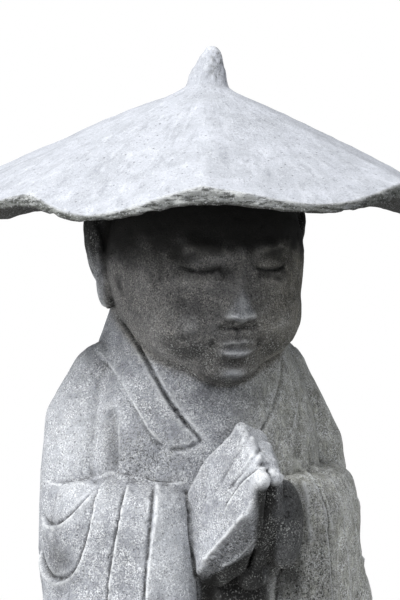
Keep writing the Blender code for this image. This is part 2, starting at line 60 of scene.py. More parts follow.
# The face, by the usual rule of thirds and fifths: metres from the head's middle
FACE_WIDE = 0.190
CHIN = -0.113
EYE_LINE = -0.002
EYE_WIDE = FACE_WIDE / 5
BROW_LINE = 0.026
NOSE_BASE = (BROW_LINE + CHIN) / 2
MOUTH_LINE = NOSE_BASE + (CHIN - NOSE_BASE) / 3
NOSE_OUT = 0.0135

# The leaf of the hat
SEAT_GAP = 0.0003
LEAF_TOP = 0.9665
LEAF_MEAN_RIM = 0.850
LEAF_DOME = 0.004
STEM_RADIUS = 0.0192
STEM_TOP = 1.0
STEM_LEAN = 0.0050
SEAT_REACH = 0.36
LEAF_EDGE = [
    (20, 250, 859, 14), (44, 262, 837, 7), (60, 254, 852, 10), (86, 278, 835, 12),
    (110, 264, 852, 12), (138, 262, 833, 9), (164, 250, 852, 13), (182, 258, 838, 9),
    (200, 244, 856, 13), (223, 250, 840, 10), (245, 236, 852, 12), (268, 244, 837, 10),
    (290, 236, 850, 13), (311, 246, 841, 10), (331, 242, 862, 13), (357, 256, 847, 10),
]

# How finely the stones are cut
VOXEL = 0.0017
FIGURE_TRIANGLES = 194_000
LEAF_SIDES = 480
FINE_HOLLOW = 0.0055
WIDE_HOLLOW = 0.017

# Millimetres in a metre
MM = 1000

# Carved lines are drawn on the stone as seen from these sides: turns from its front, in degrees
FROM_RIGHT = -20
FROM_FRONT = 0
FROM_SIDE = -90
FROM_BACK = 180
EYE_HEIGHT = 0.86
EYE_DISTANCE = 1.8

# The photograph's view, from the figure's right
VIEW_TURN = math.radians(FROM_RIGHT)
VIEW_BACK = Vector((math.sin(VIEW_TURN), -math.cos(VIEW_TURN), 0))
VIEW_RIGHT = Vector((math.cos(VIEW_TURN), math.sin(VIEW_TURN), 0))
LOOK_HEIGHT = 0.748
PICTURE_HEIGHT = 600
STEM_RIGHT_OF_MIDDLE = 7
FILM_WIDE = 36.0

# The light
LAMP_AIM = 0.7
ROOM_LIGHT = (0.20, 0.21, 0.23, 1)
WHITE = (1, 1, 1, 1)


def meshed(bm, name):
    mesh = bpy.data.meshes.new(name)
    bm.to_mesh(mesh)
    bm.free()
    return mesh


def placed(name, data):
    thing = bpy.data.objects.new(name, data)
    bpy.context.scene.collection.objects.link(thing)
    return thing


# Rough forms, which are later joined into one stone

def ellipsoid(bm, centre, half, turn=(0, 0, 0)):
    tilt = Euler([math.radians(angle) for angle in turn])
    place = Matrix.LocRotScale(Vector(centre), tilt, Vector(half))
    bmesh.ops.create_icosphere(bm, subdivisions=5, radius=1.0, matrix=place)


def limb(bm, points, radii):
    """A tapering limb with round joints at these points."""
    for point, radius in zip(points, radii):
        ellipsoid(bm, point, (radius, radius, radius))
    for start, end, low, high in zip(points, points[1:], radii, radii[1:]):
        run = Vector(end) - Vector(start)
        turn = run.to_track_quat("Z", "Y").to_matrix().to_4x4()
        place = Matrix.Translation((Vector(start) + Vector(end)) / 2) @ turn
        bmesh.ops.create_cone(
            bm, cap_ends=True, segments=48, radius1=low, radius2=high, depth=run.length, matrix=place
        )


def hulled(whole, points, radius):
    """A form with flat sides and rounded corners, drawn tight round balls at these points."""
    bm = bmesh.new()
    for point in points:
        bmesh.ops.create_icosphere(bm, subdivisions=2, radius=radius, matrix=Matrix.Translation(point))
    spots = [vert.co.copy() for vert in bm.verts]
    bm.clear()
    hull = bmesh.ops.convex_hull(bm, input=[bm.verts.new(spot) for spot in spots])
    spare = set(hull["geom_interior"] + hull["geom_unused"])
    spare = [item for item in spare if isinstance(item, bmesh.types.BMVert)]
    bmesh.ops.delete(bm, geom=spare, context="VERTS")
    whole.from_mesh(meshed(bm, "hulled"))


def through(rows, steps):
    """Rows of numbers on a smooth curve through the given rows."""
    rows = np.array(rows, float)
    ends = np.vstack([2 * rows[0] - rows[1], rows, 2 * rows[-1] - rows[-2]])
    found = []
    for a, b, c, d in zip(ends, ends[1:], ends[2:], ends[3:]):
        for t in np.arange(steps) / steps:
            bend = (2 * a - 5 * b + 4 * c - d) * t * t + (3 * b - a - 3 * c + d) * t**3
            found.append(b + 0.5 * ((c - a) * t + bend))
    found.append(rows[-1])
    return np.array(found)


def loft(bm, sections, square=2.0, turn=0.0, sides=128):
    """A closed form through level sections: height, middle x and y, half width, half depth."""
    before = None
    for height, x, y, width, depth in through(sections, 8):
        ring = bmesh.ops.create_circle(bm, segments=sides, radius=1.0)["verts"]
        edges = list({edge for vert in ring for edge in vert.link_edges})
        for vert in ring:
            across, along = vert.co.x, vert.co.y
            reach = (abs(across) ** square + abs(along) ** square) ** (-1 / square)
            vert.co = (width * reach * across, depth * reach * along, 0.0)
        place = Matrix.Translation((x, y, height)) @ Matrix.Rotation(turn, 4, "Z")
        bmesh.ops.transform(bm, matrix=place, verts=ring)
        if before:
            bmesh.ops.bridge_loops(bm, edges=before + edges)
        else:
            bmesh.ops.contextual_create(bm, geom=edges)
        before = edges
    bmesh.ops.contextual_create(bm, geom=before)


def robe_forms(bm):
    """The robe from its hem to the neck."""
    loft(bm, [
        (0.030, 0, 0.012, 0.130, 0.106), (0.078, 0, 0.012, 0.149, 0.120),
        (0.130, 0, 0.012, 0.143, 0.113), (0.260, 0, 0.012, 0.135, 0.103),
        (0.380, 0, 0.012, 0.136, 0.102), (0.480, 0, 0.014, 0.138, 0.102),
        (0.560, 0, 0.028, 0.128, 0.102), (0.620, 0, 0.038, 0.124, 0.104),
        (0.665, 0, 0.044, 0.113, 0.100), (0.700, 0, 0.044, 0.096, 0.092),
        (0.735, 0, 0.034, 0.087, 0.084), (0.775, 0, 0.018, 0.080, 0.076),
    ], square=2.2)


def arm_forms(bm):
    """Upper arms, forearms and the hanging sleeves: alike, but the left arm is fullest lower down."""
    for side, out, up, elbow, full, high in (
        (-1, 0.108, 0.622, 0.116, 0.046, 0.0), (1, 0.117, 0.587, 0.1215, 0.0485, 0.004),
    ):
        limb(
            bm,
            [(side * 0.0875, 0.050, 0.664), (side * out, 0.046, up),
             (side * elbow, 0.040, 0.565), (side * 0.120, 0.028, 0.505)],
            [0.0405, full, 0.045, 0.046],
        )
        limb(
            bm,
            [(side * 0.119, 0.020, 0.524), (side * 0.098, -0.034, 0.537),
             (side * 0.080, -0.058, 0.538)],
            [0.046, 0.043, 0.038],
        )
        limb(
            bm,
            [(side * 0.119, 0.020, 0.500), (side * 0.121, -0.012, 0.430), (side * 0.117, -0.016, 0.372)],
            [0.047, full + 0.004, 0.040],
        )
        loft(bm, [
            (0.330, side * 0.097, -0.037, 0.054, 0.028), (0.345, side * 0.098, -0.038, 0.067, 0.036),
            (0.420, side * 0.0995, -0.039, 0.077, 0.042), (0.490, side * 0.0995, -0.036, 0.076, 0.041),
            (0.535, side * 0.098, -0.033, 0.073, 0.041), (0.562 + high, side * 0.097, -0.031, 0.066, 0.036),
            (0.573 + high, side * 0.096, -0.029, 0.052, 0.024),
        ], square=2.6, turn=side * math.radians(45), sides=96)


def hand_forms(bm):
    """Joined hands, flat-backed, closing to the finger tips and slanting to the front. The left hand's
    tips are worn shorter."""
    palm = [(-0.0095, -0.121, 0.632), (-0.034, -0.095, 0.598), (-0.043, -0.075, 0.565),
            (-0.041, -0.080, 0.530), (-0.041, -0.094, 0.497), (-0.0186, -0.159, 0.560),
            (-0.0085, -0.171, 0.590), (-0.0045, -0.147, 0.543), (-0.0071, -0.117, 0.503),
            (-0.0286, -0.086, 0.482), (-0.0070, -0.110, 0.620), (-0.0070, -0.156, 0.574)]
    roots = [(-0.0190, -0.108, 0.604), (-0.0200, -0.122, 0.590), (-0.0190, -0.137, 0.577),
             (-0.0175, -0.151, 0.567)]
    tips = [(-0.0088, -0.121, 0.633), (-0.0088, -0.138, 0.623), (-0.0086, -0.155, 0.609),
            (-0.0086, -0.171, 0.592)]
    worn_tips = [(0.0088, -0.118, 0.626), (0.0090, -0.134, 0.616), (0.0092, -0.149, 0.603),
                 (0.0094, -0.157, 0.593)]
    worn_back = -0.146
    ellipsoid(bm, (0, -0.120, 0.592), (0.018, 0.032, 0.028))
    ellipsoid(bm, (0, -0.082, 0.560), (0.040, 0.034, 0.046))
    hulled(bm, tips[:3] + worn_tips[:3], 0.0062)
    hulled(bm, palm + tips, 0.0048)
    hulled(bm, [(-x, max(y, worn_back), z) for x, y, z in palm[1:]] + worn_tips[:2], 0.0048)
    for root, tip in zip(roots, tips):
        limb(bm, [root, tip], [0.0076, 0.0076])
    for (x, y, z), tip in zip(roots[:3], worn_tips):
        limb(bm, [(-x, max(y, worn_back), z), tip], [0.0074, 0.0074])
    ellipsoid(bm, worn_tips[3], (0.0075, 0.0085, 0.0090))
    ellipsoid(bm, (0.035, -0.116, 0.540), (0.0195, 0.032, 0.043), (0, 0, FROM_RIGHT))
    ellipsoid(bm, (0.0075, -0.104, 0.494), (0.014, 0.014, 0.015))


# The head's parts: middle and half sizes, as metres from the head's middle
HEAD_PARTS = [
    ((0, 0.007, 0.006), (0.0995, 0.1010, 0.1060)),
    ((0, -0.018, -0.036), (0.0840, 0.0780, 0.0780)),
    ((0.040, -0.050, -0.044), (0.0400, 0.0380, 0.0420)),
    ((-0.040, -0.050, -0.044), (0.0400, 0.0380, 0.0420)),
    ((0, -0.062, -0.086), (0.0340, 0.0300, 0.0250)),
]
HEAD_BLEND = 14


def head_reach(points):
    """One on the skin of the head, less inside it: the head's parts, run softly into each other."""
    total = np.zeros(len(points))
    for middle, half in HEAD_PARTS:
        total += np.exp(-HEAD_BLEND * np.linalg.norm((points - middle) / half, axis=1))
    return -np.log(total) / HEAD_BLEND


def head_forms(whole):
    """A round shaved head with long ears. The face is modelled on it later."""
    bm = bmesh.new()
    ball = bmesh.ops.create_icosphere(bm, subdivisions=6, radius=1.0)["verts"]
    out = np.array([vert.co for vert in ball])
    low, high = np.full(len(out), 0.02), np.full(len(out), 0.2)
    for _ in range(30):
        middle = (low + high) / 2
        inside = head_reach(out * middle[:, None]) < 1
        low, high = np.where(inside, middle, low), np.where(inside, high, middle)
    for vert, reach in zip(ball, low):
        vert.co *= float(reach)
    for side in (-1, 1):
        ellipsoid(bm, (side * 0.105, 0.038, 0.010), (0.0090, 0.020, 0.040), (10, side * 14, 0))
        ellipsoid(bm, (side * 0.0950, 0.030, -0.028), (0.0085, 0.014, 0.024), (6, side * 8, 0))
        ellipsoid(bm, (side * 0.097, 0.036, 0.020), (0.012, 0.014, 0.040), (10, side * 10, 0))
    nod = Matrix.Translation(HEAD_MIDDLE) @ Matrix.Rotation(HEAD_NOD, 4, "X")
    bmesh.ops.transform(bm, matrix=nod, verts=bm.verts)
    whole.from_mesh(meshed(bm, "head"))


def base_forms(bm):
    """A low rounded base, with the toes showing under the hem."""
    wide, deep = BASE_HALF
    loft(bm, [
        (-0.010, 0, 0.0, wide, deep), (0.030, 0, 0.0, wide, deep),
        (BASE_HEIGHT - 0.008, 0, 0.0, wide - 0.002, deep - 0.002),
        (BASE_HEIGHT, 0, 0.0, wide - 0.010, deep - 0.010),
    ], square=3.2)
    for side in (-1, 1):
        ellipsoid(bm, (side * 0.050, -0.098, 0.062), (0.036, 0.040, 0.020), (0, 0, side * 6))


def one_stone(bm):
    """Joins the rough forms into one skin and softens where they meet."""
    rough = placed("rough_figure", meshed(bm, "rough_figure"))
    joined = rough.modifiers.new("joined", "REMESH")
    joined.mode = "VOXEL"
    joined.voxel_size = VOXEL
    soft = rough.modifiers.new("soft", "SMOOTH")
    soft.factor = 0.5
    soft.iterations = 4
    mesh = settled(rough)
    bm = bmesh.new()
    bm.from_mesh(mesh)
    bmesh.ops.delete(bm, geom=shut_in_faces(bm), context="FACES")
    bm.to_mesh(mesh)
    bm.free()
    return mesh


def shut_in_faces(bm):
    """The faces of every skin but the largest: small hollows shut inside the stone."""
    left = set(bm.faces)
    skins = []
    while left:
        skin = {left.pop()}
        edge_of = set(skin)
        while edge_of:
            edge_of = {near for face in edge_of for edge in face.edges for near in edge.link_faces} - skin
            skin |= edge_of
        left -= skin
        skins.append(skin)
    skins.remove(max(skins, key=len))
    return [face for skin in skins for face in skin]


def settled(thing):
    """The mesh that an object's modifiers give, once the object is gone."""
    graph = bpy.context.evaluated_depsgraph_get()
    mesh = bpy.data.meshes.new_from_object(thing.evaluated_get(graph))
    bpy.data.objects.remove(thing)
    return mesh


# Working on a mesh's points

def rows_of(items, name):
    found = np.empty(len(items) * 3, np.float32)
    items.foreach_get(name, found)
    return found.reshape(-1, 3).astype(float)


def points_of(mesh):
    return rows_of(mesh.vertices, "co")


def normals_of(mesh):
    return rows_of(mesh.vertex_normals, "vector")


def place_points(mesh, points):
    mesh.vertices.foreach_set("co", points.astype(np.float32).ravel())
    mesh.update()


def rise(values, low, high):
    """Nought below low, one above high, and a soft rise between."""
    share = np.clip((values - low) / (high - low), 0, 1)
    return share * share * (3 - 2 * share)


def lumps(points, size, seed):
    """Smooth random swellings of about this size, from -1 to 1, mixed from each place and the seed."""
    spot = points / size
    corner = np.floor(spot).astype(np.int64)
    share = spot - corner
    share = share * share * (3 - 2 * share)
    total = np.zeros(len(points))
    for dx in (0, 1):
        for dy in (0, 1):
            for dz in (0, 1):
                cell = corner + (dx, dy, dz)
                mixed = (cell[:, 0] * 73856093) ^ (cell[:, 1] * 19349663) ^ (cell[:, 2] * 83492791)
                mixed = (mixed ^ (seed * 2654435761)) & 0x7FFFFFFF
                mixed = (mixed * 1103515245 + 12345) & 0x7FFFFFFF
                mixed = ((mixed >> 9) * 69069 + 1) & 0xFFFFF
                weight = np.ones(len(points))
                for axis, step_on in enumerate((dx, dy, dz)):
                    weight *= share[:, axis] if step_on else 1 - share[:, axis]
                total += weight * (mixed / 0x7FFFF - 1)
    return total


# Carving

LINE_STEP = 1.2
LINE_ENDS = 0.10
POINTS_AT_A_TIME = 4000


def eye(turn):
    """Where a viewer at this turn stands, and the viewer's right."""
    angle = math.radians(turn)
    back = Vector((math.sin(angle), -math.cos(angle), 0))
    return back * EYE_DISTANCE + Vector((0, 0, EYE_HEIGHT)), Vector((math.cos(angle), math.sin(angle), 0))


def evened(rows, times):
    """Takes small jumps out of a row of points or directions, its ends held."""
    rows = np.array(rows)
    for _ in range(times):
        rows[1:-1] = (rows[:-2] + 2 * rows[1:-1] + rows[2:]) / 4
    return rows


def drawn(tree, turn, marks):
    """A smooth line through these marks, laid on the stone: its points and the stone's normals."""
    viewpoint, right = eye(turn)
    points, normals = [], []
    widest = max(math.dist(start, end) for start, end in zip(marks, marks[1:]))
    for across, up in through(marks, max(36, round(widest / LINE_STEP))):
        target = right * across / MM + Vector((0, 0, up / MM))
        point, normal, _, _ = tree.ray_cast(viewpoint, (target - viewpoint).normalized())
        if point:
            points.append(point)
            normals.append(normal)
    return evened(points, 8), evened(normals, 40)


def bell(s):
    return np.exp(-s * s)


def groove(s):
    return -bell(s)


def ridge(s):
    return bell(s)


def pleat(s):
    """A crest along the right of the line that dies away slowly, with a sharp nick on its left."""
    crest = 0.5 * (1 + np.tanh(2.2 * s)) * bell(np.maximum(s - 0.5, 0) / 7)
    return crest + 0.4 * bell((s - 0.3) / 0.8) - 0.75 * bell((s + 1.3) / 1.1)


def step(s):
    """An edge that stands up on the left of the line and dies away."""
    return 0.5 * (1 + np.tanh(2.5 * s)) * bell(np.maximum(s - 1, 0) / 7)


def cut(points, normals, line, profile, width, depth):
    """How far each point moves along its normal for one carved line."""
    path, out = line
    out = out / np.linalg.norm(out, axis=1, keepdims=True)
    moved = np.zeros(len(points))
    reach = width * (14 if profile in (step, pleat) else 4)
    near = np.all((points > path.min(0) - reach) & (points < path.max(0) + reach), axis=1)
    near = np.flatnonzero(near)
    along = evened(np.gradient(path, axis=0), 20)
    along /= np.linalg.norm(along, axis=1, keepdims=True) + 1e-12
    left = np.cross(out, along)
    left /= np.linalg.norm(left, axis=1, keepdims=True)
    count = len(path)
    for part in np.array_split(near, max(1, len(near) // POINTS_AT_A_TIME)):
        offset = points[part, None, :] - path[None, :, :]
        closest = np.argmin((offset**2).sum(2), axis=1)
        rows = np.arange(len(part))
        away = offset[rows, closest]
        side = (away * left[closest]).sum(1)
        run = (away * along[closest]).sum(1)
        spread = np.sqrt(np.maximum((away**2).sum(1) - side**2, 0))
        ends = np.minimum(closest, count - 1 - closest) / (LINE_ENDS * count)
        fade = np.clip(ends, 0, 1) ** 0.7 * bell(run / width) * bell(spread / (3 * width))
        facing = np.clip((normals[part] * out[closest]).sum(1) * 2, 0, 1)
        moved[part] = depth * profile(side / width) * fade * facing
    return moved


# Each line: viewpoint, marks in millimetres right of the stem's line and above the ground,
# profile, width and depth in millimetres, and how deep the figure's other side has it
FOLD_LINES = [
    # The collar: its inner groove, its outer edge and its lower end
    (FROM_RIGHT, [(-90, 732), (-71, 704), (-57, 680), (-40, 650), (-23, 627), (-1, 602)],
     groove, 2.0, 4.8, 0.4),
    (FROM_RIGHT, [(-38, 598), (-55, 612), (-69, 634), (-79, 652), (-95, 679), (-110, 699), (-111, 712)],
     step, 1.6, -3.0, 0.4),
    (FROM_RIGHT, [(-113, 705), (-110, 697), (-95, 679), (-85, 658), (-73, 642), (-66, 631), (-55, 614),
                  (-38, 597)], ridge, 1.4, 1.2, 0.4),
    (FROM_RIGHT, [(-4, 606), (-20, 599), (-38, 597)], groove, 2.2, 2.4, 0),
    # The crease beside the upper arm, the sleeve's top edge and a small ridge on the shoulder
    (FROM_RIGHT, [(-97, 640), (-95, 620), (-94, 598), (-93, 576)], groove, 6.5, 4.5, 0.6),
    (FROM_RIGHT, [(-89, 626), (-89, 606), (-88, 584), (-80, 570)], ridge, 1.5, 1.2, 0),
    (FROM_RIGHT, [(-18, 566), (-33, 564), (-51, 564), (-69, 570), (-84, 571), (-97, 575), (-110, 569),
                  (-125, 563), (-142, 561), (-163, 566)], step, 1.3, 2.4, 0.3),
    (FROM_RIGHT, [(-104, 573), (-118, 567), (-134, 563), (-150, 562), (-164, 567)], ridge, 1.3, 1.4, 0),
    (FROM_RIGHT, [(-132, 647), (-125, 645), (-114, 641)], ridge, 1.3, 1.1, 0),
    # The sleeve's two loops, then its hanging folds
    (FROM_RIGHT, [(-110, 553), (-122, 515), (-133, 492), (-148, 484), (-160, 492)], groove, 10.0, 3.0, 0.5),
    (FROM_RIGHT, [(-104, 562), (-121, 546), (-132, 534), (-142, 525), (-152, 519), (-161, 522),
                  (-166, 532)], pleat, 1.9, 2.8, 0.5),
    (FROM_RIGHT, [(-102, 566), (-112, 542), (-117, 520), (-125, 492), (-131, 476), (-140, 466),
                  (-152, 463), (-161, 471), (-165, 482), (-167, 496)], pleat, 2.0, 3.6, 0.5),
    (FROM_RIGHT, [(-80, 562), (-85, 536), (-90, 510), (-95, 480), (-99, 448), (-102, 366)],
     pleat, 1.9, 3.6, 0.5),
    (FROM_RIGHT, [(-51, 563), (-53, 536), (-56, 506), (-59, 476), (-61, 446), (-63, 356)],
     pleat, 1.9, 4.0, 0.5),
    (FROM_RIGHT, [(-21, 560), (-19, 532), (-17, 503), (-13, 480), (-9, 450), (-6, 400), (-4, 350)],
     groove, 1.6, 2.1, 1),
    (FROM_RIGHT, [(-150, 446), (-143, 410), (-140, 366)], pleat, 3.0, 3.5, 0.6),
    # The fold inside the ear
    (FROM_SIDE, [(-28, 817), (-36, 829), (-49, 821), (-54, 798), (-49, 775), (-40, 760)],
     groove, 2.4, 2.2, 1),
    # The hands: two ridges towards the wrist and three lines between fingers
    (FROM_RIGHT, [(38, 533), (24, 516), (10, 500), (-6, 482)], ridge, 2.2, 1.6, 0),
    (FROM_RIGHT, [(48, 506), (38, 494), (26, 484), (12, 478)], ridge, 2.0, 1.4, 0),
    (FROM_RIGHT, [(45, 614), (30, 592), (6, 552)], groove, 2.0, 1.5, 0.8),
    (FROM_RIGHT, [(56, 600), (42, 583), (20, 556)], groove, 2.0, 2.0, 0.8),
    (FROM_RIGHT, [(60, 582), (50, 575), (35, 562), (17, 535)], pleat, 1.9, 2.4, 0.8),
    # The left sleeve, and the crease above it
    (FROM_RIGHT, [(89, 582), (99, 574), (107, 566), (118, 547), (124, 528), (127, 503)], ridge, 2.4, 1.4, 0),
    (FROM_RIGHT, [(95, 566), (99, 548), (101, 523), (103, 498)], pleat, 2.2, 1.6, 0),
    (FROM_RIGHT, [(97, 640), (94, 612), (92, 586)], groove, 6.0, 3.0, 0),
    # The robe's long folds before and behind, and the collar's edge across the back
    (FROM_FRONT, [(-26, 480), (-22, 380), (-20, 250), (-22, 90)], pleat, 4.5, 5.0, 1),
    (FROM_FRONT, [(-66, 325), (-62, 220), (-68, 90)], pleat, 4.5, 5.0, 1),
    (FROM_FRONT, [(-108, 335), (-104, 220), (-108, 90)], pleat, 4.5, 5.0, 1),
    (FROM_BACK, [(-30, 640), (-24, 500), (-22, 300), (-26, 90)], pleat, 4.5, 4.5, 1),
    (FROM_BACK, [(-76, 560), (-70, 420), (-72, 260), (-80, 90)], pleat, 4.5, 4.5, 1),
    (FROM_BACK, [(-118, 470), (-114, 330), (-118, 100)], pleat, 4.5, 4.5, 1),
    (FROM_BACK, [(108, 698), (56, 682), (0, 676), (-56, 682), (-108, 698)], step, 2.0, 3.6, 0),
]


def face_marks(marks):
    """Millimetres from the head's middle, as marks seen from the front."""
    return [(across, MM * HEAD_MIDDLE.z + up) for across, up in marks]


EYE_IN = -EYE_WIDE / 2 * MM
EYE_MID = -EYE_WIDE * MM
EYE_OUT = -EYE_WIDE * 1.5 * MM
FACE_LINES = [
    (FROM_FRONT, face_marks([
        (EYE_OUT, EYE_LINE * MM - 1.5), (EYE_OUT * 0.85, EYE_LINE * MM - 5), (EYE_MID, EYE_LINE * MM - 7),
        (EYE_IN * 1.35, EYE_LINE * MM - 5.5), (EYE_IN * 0.95, EYE_LINE * MM - 3.5),
    ]), groove, 1.5, 2.2, 1),
    (FROM_FRONT, face_marks([
        (-23, MOUTH_LINE * MM + 1.8), (-14, MOUTH_LINE * MM - 0.2), (-6, MOUTH_LINE * MM),
        (0, MOUTH_LINE * MM - 1.2), (6, MOUTH_LINE * MM), (14, MOUTH_LINE * MM - 0.2),
        (23, MOUTH_LINE * MM + 1.8),
    ]), groove, 1.6, 2.6, 0),
]


def swelling(x, z, at, half, height):
    return height * bell((x - at[0]) / half[0]) * bell((z - at[1]) / half[1])


def face_relief(x, z):
    """How far the face stands out from the plain head: brow, closed eyes, nose, lips and chin."""
    x = np.abs(x)
    down = np.clip((BROW_LINE - z) / (BROW_LINE - NOSE_BASE - 0.008), 0, 1)
    bridge = bell(x / (0.0095 + 0.0040 * down)) * (0.16 + 0.84 * down**1.6)
    tip = rise(z - 0.0034 * (x / 0.010) ** 2, NOSE_BASE - 0.005, NOSE_BASE + 0.009)
    tip = np.where(x < 0.02, tip, 0) * rise(-z, -BROW_LINE - 0.018, -BROW_LINE)
    nose = NOSE_OUT * bridge * tip + swelling(x, z, (0, NOSE_BASE + 0.0085), (0.0080, 0.0075), 0.0024)
    wings = swelling(x, z, (0.0132, NOSE_BASE + 0.0068), (0.0052, 0.0058), 0.0054)
    nostrils = swelling(x, z, (0.0070, NOSE_BASE + 0.0003), (0.0032, 0.0026), -0.0026)
    socket = swelling(x, z, (0.034, EYE_LINE + 0.004), (0.026, 0.018), -0.0056)
    lid = swelling(x, z, (EYE_WIDE, EYE_LINE - 0.0005), (0.0200, 0.0100), 0.0072)
    crease = EYE_LINE + 0.0100 - 0.0050 * ((x - EYE_WIDE) / 0.018) ** 2
    crease = -0.0013 * bell((z - crease) / 0.0022) * bell((x - EYE_WIDE) / 0.020)
    brow_rise = BROW_LINE + 0.004 - 0.007 * ((x - 0.036) / 0.028) ** 2
    brow = 0.0034 * bell((z - brow_rise) / 0.0058) * rise(x, 0.0, 0.018) * rise(-x, -0.070, -0.048)
    muzzle = swelling(x, z, (0, MOUTH_LINE), (0.028, 0.019), 0.0044)
    full = np.sqrt(np.clip(1 - (x / 0.0235) ** 2, 0, 1))
    bow = MOUTH_LINE + 0.0040 * full + 0.0012 * bell((x - 0.006) / 0.0038)
    upper_lip = 0.0036 * full * bell((z - bow) / (0.0014 + 0.0026 * full))
    lower_lip = 0.0050 * full**1.5 * bell((z - MOUTH_LINE + 0.0064 * full) / (0.0016 + 0.0036 * full))
    corner = swelling(x, z, (0.0225, MOUTH_LINE + 0.0010), (0.0042, 0.0042), -0.0030)
    furrow = swelling(x, z, (0, MOUTH_LINE - 0.0150), (0.0180, 0.0048), -0.0032)
    philtrum = swelling(x, z, (0, NOSE_BASE - 0.0070), (0.0028, 0.0060), -0.0016)
    cheek = swelling(x, z, (0.046, NOSE_BASE + 0.002), (0.024, 0.022), 0.0042)
    chin = swelling(x, z, (0, CHIN + 0.017), (0.017, 0.011), 0.0044)
    return (
        nose + wings + nostrils + socket + lid + crease + brow + muzzle + upper_lip + lower_lip
        + corner + furrow + philtrum + cheek + chin
    )


def on_head(points):
    """The same points, measured from the head's middle and along its own tilt."""
    return (points - np.array(HEAD_MIDDLE)) @ np.array(Matrix.Rotation(HEAD_NOD, 3, "X"))


def model_face(mesh):
    """Draws the face out of the front of the head, along the way that it looks."""
    points = points_of(mesh)
    own = on_head(points)
    near = np.flatnonzero((own[:, 1] < -0.01) & (np.abs(own[:, 0]) < 0.1) & (np.abs(own[:, 2]) < 0.12))
    near = near[np.abs(head_reach(own[near]) - 1) < 0.09]
    own = own[near]
    front = rise(-own[:, 1], 0.015, 0.055)
    forward = face_relief(own[:, 0], own[:, 2]) * front
    ahead = Matrix.Rotation(HEAD_NOD, 3, "X") @ Vector((0, -1, 0))
    points[near] += forward[:, None] * np.array(ahead)
    place_points(mesh, points)


def carve(mesh, lines):
    """Cuts the lines into the stone, on the robe a little deeper here and shallower there."""
    tree = BVHTree.FromPolygons(
        [vert.co for vert in mesh.vertices], [face.vertices for face in mesh.polygons]
    )
    points, normals = points_of(mesh), normals_of(mesh)
    moved = np.zeros(len(points))
    turned = np.array([-1, 1, 1])
    for turn, marks, profile, width, depth, other_side in lines:
        path, out = drawn(tree, turn, marks)
        moved += cut(points, normals, (path, out), profile, width / MM, depth / MM)
        if other_side:
            other = (path[::-1] * turned, out[::-1] * turned)
            moved += cut(points, normals, other, profile, width / MM, other_side * depth / MM)
    moved *= 1 + 0.26 * lumps(points, 0.020, 43) * rise(-points[:, 2], -0.720, -0.700)
    place_points(mesh, points + normals * moved[:, None])


def weather(mesh):
    """Low swellings and dips that the chisel and the rain have left, and small chips, most of them
    under the end of the collar and on the left hand's finger tips."""
    points, normals = points_of(mesh), normals_of(mesh)
    off = 0.00055 * lumps(points, 0.034, 3) + 0.00035 * lumps(points, 0.012, 5)
    off += 0.00040 * lumps(points, 0.0055, 7)
    blunt = bell((points[:, 0] - 0.013) / 0.012) * bell((points[:, 2] - 0.612) / 0.026)
    blunt *= rise(-points[:, 1], 0.095, 0.115)
    off -= 0.0026 * blunt * rise(lumps(points, 0.0080, 29), -0.3, 0.6)
    rough = bell((points[:, 0] + 0.085) / 0.035) * bell((points[:, 2] - 0.592) / 0.022)
    rough *= rise(-points[:, 1], 0.0, 0.03)
    off -= 0.0016 * rise(lumps(points, 0.0062, 23), 0.52 - 0.40 * rough, 0.85 - 0.35 * rough)
    place_points(mesh, points + normals * off[:, None])


def spread_out(mesh, values, rounds):
    """Evens rows of values over the points joined by edges, and keeps them after each of these rounds."""
    pairs = np.empty(len(mesh.edges) * 2, np.int32)
    mesh.edges.foreach_get("vertices", pairs)
    pairs = pairs.reshape(-1, 2)
    ends = np.vstack([pairs, pairs[:, ::-1]])
    count = np.maximum(np.bincount(ends[:, 0], minlength=len(values)), 1)
    found = []
    for index in range(max(rounds)):
        means = [np.bincount(ends[:, 0], column[ends[:, 1]], len(values)) / count for column in values.T]
        values = (values + np.column_stack(means)) / 2
        if index + 1 in rounds:
            found.append(values)
    return found


def hollows(mesh, rounds):
    """How far each point lies under its smoothed surroundings, in metres; ridges come out negative."""
    points, normals = points_of(mesh), normals_of(mesh)
    return [((smooth - points) * normals).sum(1) for smooth in spread_out(mesh, points, rounds)]


SKY_REACH = 0.5
CLEAR_OF_STONE = 0.002


def hidden_sky(mesh, above, rays=12):
    """How much of the open sky the stones hide from each point, from 0 to 1. `above` is the hat."""
    points, normals = points_of(mesh), normals_of(mesh)
    bm = bmesh.new()
    bm.from_mesh(mesh)
    bm.from_mesh(above)
    tree = BVHTree.FromBMesh(bm)
    bm.free()
    chance = np.random.default_rng(7)
    starts = (points + normals * CLEAR_OF_STONE).tolist()
    seen = np.zeros(len(points))
    for _ in range(rays):
        level = np.sqrt(chance.random(len(points)))
        turn = math.tau * chance.random(len(points))
        ways = np.column_stack([level * np.cos(turn), level * np.sin(turn), np.sqrt(1 - level**2)])
        facing = np.flatnonzero((ways * normals).sum(1) > 0)
        seen[facing] += [
            tree.ray_cast(starts[index], way, SKY_REACH)[0] is None
            for index, way in zip(facing, ways[facing].tolist())
        ]
    in_the_open = (1 + np.maximum(normals[:, 2], 0)) / 2
    share, = spread_out(mesh, (seen / rays / in_the_open)[:, None], (8,))
    return 1 - share[:, 0]


def note(mesh, name, values):
    """Keeps one number for each point, which a material reads by this name."""
    kept = mesh.attributes.new(name, "FLOAT", "POINT")
    kept.data.foreach_set("value", np.clip(values, 0, 1).astype(np.float32))


def inside_solid(points, node):
    """The same points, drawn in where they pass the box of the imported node."""
    low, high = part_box(node)
    return np.clip(points, np.array(low), np.array(high))


def thinned(mesh):
    fine = placed("fine_figure", mesh)
    fewer = fine.modifiers.new("fewer", "DECIMATE")
    fewer.ratio = min(1.0, FIGURE_TRIANGLES / (2 * len(mesh.polygons)))
    return settled(fine)


